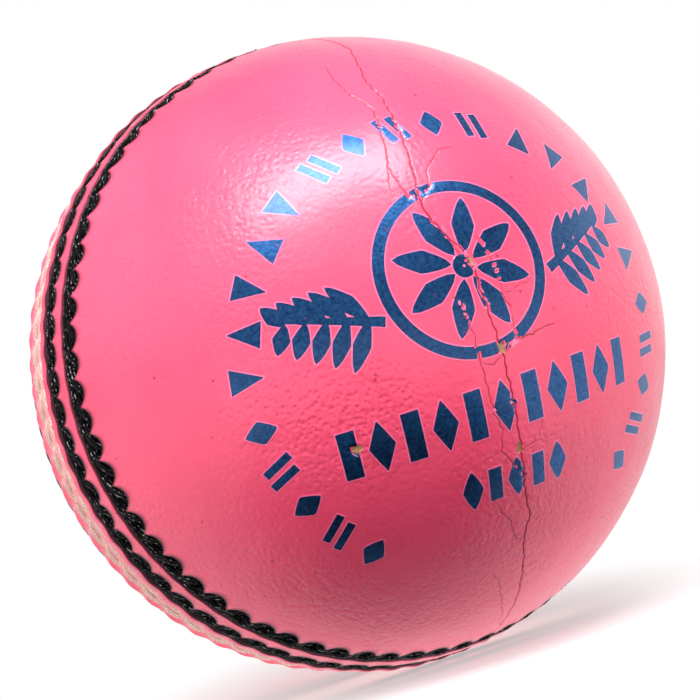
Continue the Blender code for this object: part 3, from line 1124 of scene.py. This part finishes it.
def blue_foil():
    """Hot-pressed metallic foil: cyan in the light, navy out of it, slightly crinkled and worn in spots,
    with paler cyan painted on the crinkle crests as highlight.
    """
    look = Finish("blue_foil")
    crinkle = look.noise(2.8, 5, 0.7)
    # Navy in the crinkle's hollows and paler cyan on its crests: painted highlight.
    blue = look.mixed(look.spans(crinkle, 0.3, 0.7, 0, 1), (0.012, 0.048, 0.20), (0.048, 0.205, 0.50))
    # Worn spots, where the foil turns purple.
    wear_and_painted_glint = look.spans(look.noise(0.9, 6, 0.7), 0.60, 0.72, 0, 0.6)
    return look.surface(
        Base_Color=look.mixed(wear_and_painted_glint, blue, (0.30, 0.10, 0.25)),
        Metallic=0.95,
        Roughness=look.spans(crinkle, 0.3, 0.7, 0.31, 0.43),
        Coat_Weight=0.6,
        Coat_Roughness=0.18,
        Coat_Tint=(0.75, 0.95, 1),
        Normal=look.bump(crinkle, 0.6, 0.08 * MM),
    )


def thread_material(name, dark, light, roughness, gleam, stain=None):
    """Twisted thread: fine plies that wind along it, fibres across them, painted shade in the grooves
    between the plies, painted glints on their crests, and an optional stain.
    """
    look = Finish(name)
    thread = look.put("SeparateXYZ", Vector=look.put("UVMap").outputs[0])
    around = look.calc("MULTIPLY", thread.outputs["X"], PLY_LINES)
    along = look.calc("DIVIDE", thread.outputs["Y"], PLY_LAY)
    wound = look.calc("SINE", look.calc("MULTIPLY", look.calc("SUBTRACT", around, along), TURN))
    plies = look.spans(wound, -1, 1, 0, 1)
    fibres = look.noise(6, 5, 0.7)
    # Darker in the grooves between the plies and where the fibre noise is low: painted shade mixed with
    # random fibre tone.
    tone = look.mixed(look.calc("MULTIPLY", plies, fibres), dark, light)
    # Pale grey in noisy spots on the ply crests, as strong as gleam: painted glints.
    wear_and_painted_glint = look.spans(look.noise(2.6, 3, 0.6), 0.54, 0.66, 0, gleam)
    crest = look.spans(wound, 0.45, 0.95, 0, 1)
    tone = look.mixed(look.calc("MULTIPLY", wear_and_painted_glint, crest), tone, (0.50, 0.46, 0.47))
    if stain is not None:
        tone = look.mixed(look.spans(look.noise(0.5), 0.42, 0.66, 0.05, 0.6), tone, stain)
    twisted = look.bump(plies, 0.8, 0.16 * MM)
    return look.surface(
        Base_Color=tone,
        Roughness=look.spans(fibres, 0.3, 0.7, roughness - 0.1, roughness + 0.1),
        Specular_IOR_Level=0.09,
        Normal=look.bump(fibres, 0.6, 0.12 * MM, Normal=twisted),
    )


def cork():
    """Pressed cork granules with dark seams between them."""
    look = Finish("cork")
    cells = look.cells("F1", 0.7)
    tone = look.mixed(cells, (0.42, 0.22, 0.09), (0.17, 0.07, 0.025))
    return look.surface(
        Base_Color=look.mixed(look.noise(1.8, 4), tone, (0.50, 0.29, 0.13)),
        Roughness=0.85,
        Normal=look.bump(cells, 0.6, 0.2 * MM),
    )


def wool_yarn():
    """Worsted yarn wound round and round, off-white and slightly fuzzy."""
    look = Finish("wool_yarn")
    wave = look.put("TexWave", {"wave_type": "RINGS", "rings_direction": "Z"},
                    Vector=look.where, Scale=0.32, Distortion=2.5, Detail=2.0)
    strands = wave.outputs["Fac"]
    tone = look.mixed(strands, (0.34, 0.27, 0.19), (0.72, 0.65, 0.52))
    return look.surface(
        Base_Color=look.mixed(look.spans(look.noise(1.2, 5), 0.3, 0.7, 0, 0.5), tone, (0.55, 0.46, 0.34)),
        Roughness=0.9,
        Sheen_Weight=0.4,
        Normal=look.bump(strands, 0.8, 0.3 * MM),
    )


def make_materials():
    """Every finish by name."""
    return {
        "pink_leather": pink_leather(),
        "lip_painted_highlight": lip_painted_highlight(),
        "blue_foil": blue_foil(),
        "black_waxed_thread": thread_material(
            "black_waxed_thread", dark=(0.002, 0.0015, 0.002), light=(0.007, 0.005, 0.007),
            roughness=0.34, gleam=0.9),
        "natural_thread": thread_material(
            "natural_thread", dark=(0.66, 0.44, 0.36), light=(0.95, 0.82, 0.72),
            roughness=0.6, gleam=0.0, stain=(0.86, 0.36, 0.39)),
        "cork": cork(),
        "wool_yarn": wool_yarn(),
    }


def finish_hidden_nodes(nodes):
    """Procedural finishes for the CAD pieces inside the ball."""
    finishes = {"cork": "cork", "yarn": "wool_yarn", "seam_thread": "natural_thread"}
    for name, node in nodes.items():
        for word, slot in finishes.items():
            if word in name:
                node.data.materials.clear()
                node.data.materials.append(MATERIALS[slot])


# ---------------------------------------------------------------- studio


def camera_axes():
    """World directions to the camera's right, up and back."""
    azimuth = math.radians(CAMERA_AZIMUTH)
    elevation = math.radians(CAMERA_ELEVATION)
    roll = math.radians(CAMERA_ROLL)
    back = Vector((math.cos(elevation) * math.sin(azimuth), -math.cos(elevation) * math.cos(azimuth),
                   math.sin(elevation)))
    level = Vector((math.cos(azimuth), math.sin(azimuth), 0))
    rise = back.cross(level)
    right = level * math.cos(roll) + rise * math.sin(roll)
    return right, back.cross(right), back


def placed(right, up, back, distance):
    """The matrix of a camera or lamp that looks at the ball's centre from a distance."""
    turned = Matrix((right, up, back)).transposed().to_4x4()
    return Matrix.Translation(back * distance) @ turned


def add_camera():
    """The photograph's point of view."""
    data = bpy.data.cameras.new("photo_camera")
    data.lens = CAMERA_LENS
    data.shift_x, data.shift_y = CAMERA_SHIFT
    data.clip_start = 1 * MM
    camera = bpy.data.objects.new("photo_camera", data)
    camera.matrix_world = placed(*camera_axes(), CAMERA_DISTANCE * BALL_RADIUS)
    bpy.context.scene.collection.objects.link(camera)
    bpy.context.scene.camera = camera


def add_softbox(name, box):
    """An area light that faces the ball, its long side level."""
    data = bpy.data.lights.new(name, "AREA")
    data.shape = "RECTANGLE"
    data.size, data.size_y = box.size
    data.energy = box.power
    light = bpy.data.objects.new(name, data)
    back = Vector(box.direction).normalized()
    level = Vector((0, 0, 1)).cross(back).normalized()
    light.matrix_world = placed(level, back.cross(level), back, box.distance)
    light.visible_camera = False
    light.visible_glossy = box.mirrored
    bpy.context.scene.collection.objects.link(light)


def floor_material():
    """A pale surface that fades to plain white, and a glow that lights the ball, less from its front."""
    look = Nodes(bpy.data.materials.new("floor"))
    look.surface(Base_Color=(0.85, 0.85, 0.85), Roughness=0.8)
    place = look.put("TexCoord").outputs["Object"]
    path = look.put("LightPath").outputs
    away = look.spans(look.measured("LENGTH", place), FADE_NEAR, FADE_FAR, FLOOR_WHITE, 1)
    seen = look.blended(away, look.tree.nodes["Principled BSDF"], look.put("Emission", Strength=1.0))
    to_shade = look.measured("DISTANCE", place, SHADE_CENTRE)
    unshaded = look.spans(to_shade, SHADE_NEAR, SHADE_FAR, 0, 1)
    glow = look.spans(path["Is Glossy Ray"], 0, 1, FLOOR_GLOW, FLOOR_GLINT)
    bounce = look.put("Emission", Strength=look.calc("MULTIPLY", unshaded, glow))
    whole = look.blended(path["Is Camera Ray"], bounce, seen)
    connect_all(look.tree.nodes["Material Output"], {"Surface": whole.outputs[0]})
    return look.owner


def add_floor(level):
    """A pale floor under the ball."""
    mesh = bpy.data.meshes.new("floor")
    shape = bmesh.new()
    bmesh.ops.create_circle(shape, cap_ends=True, segments=96, radius=FLOOR_RADIUS)
    shape.to_mesh(mesh)
    shape.free()
    mesh.materials.append(floor_material())
    floor = bpy.data.objects.new("floor", mesh)
    floor.location.z = level
    bpy.context.scene.collection.objects.link(floor)


def surround():
    """White surroundings. The ball mirrors them brightest behind it and at its left edge."""
    world = bpy.data.worlds.new("studio")
    bpy.context.scene.world = world
    look = Nodes(world)
    place = look.put("TexCoord").outputs["Generated"]
    path = look.put("LightPath").outputs
    height = look.put("SeparateXYZ", Vector=place).outputs["Z"]
    soft = look.spans(height, -0.3, 1.0, SKY_LOW, SKY_HIGH)
    right, up, back = camera_axes()
    behind = look.measured("DOT_PRODUCT", place, (right * 0.8 - back - up * 0.3).normalized())
    beside = look.measured("DOT_PRODUCT", place, (up * 0.2 - right).normalized())
    mirrored = look.calc("MAXIMUM", look.spans(behind, 0.1, 0.8, MIRROR_FRONT, MIRROR_BACK),
                         look.spans(beside, 0.45, 0.95, 0, MIRROR_LEFT))
    strength = look.put("Mix", {"data_type": "FLOAT"}, (path["Is Glossy Ray"],))
    connect(strength.inputs[2], soft)
    connect(strength.inputs[3], mirrored)
    lights = look.tree.nodes["Background"]
    connect_all(lights, {"Color": (1, 1, 1), "Strength": strength.outputs[0]})
    plain = look.put("Background", Color=(1, 1, 1), Strength=1.0)
    whole = look.blended(path["Is Camera Ray"], lights, plain)
    connect_all(look.tree.nodes["World Output"], {"Surface": whole.outputs[0]})


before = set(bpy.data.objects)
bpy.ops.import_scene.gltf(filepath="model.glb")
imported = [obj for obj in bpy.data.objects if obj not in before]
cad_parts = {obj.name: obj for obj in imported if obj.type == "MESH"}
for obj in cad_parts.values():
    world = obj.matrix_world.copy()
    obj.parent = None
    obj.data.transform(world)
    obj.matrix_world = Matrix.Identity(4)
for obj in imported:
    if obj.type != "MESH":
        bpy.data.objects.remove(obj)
cad_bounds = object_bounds()
BALL_RADIUS = (cad_bounds[1][0] - cad_bounds[0][0]) / 2
TO_POLE = BALL_RADIUS * math.pi / 2
MATERIALS = make_materials()

SEWN_ROWS = sewn_rows()
SEGMENTS = crack_segments()

build_leather(SEWN_ROWS, SEGMENTS)
build_threads(SEWN_ROWS)
build_stamp(SEWN_ROWS, SEGMENTS)
finish_hidden_nodes(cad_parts)

add_camera()
add_floor(cad_bounds[0][2])
surround()
for box_name, softbox in SOFTBOXES.items():
    add_softbox(box_name, softbox)
bpy.context.scene.view_settings.view_transform = "Standard"
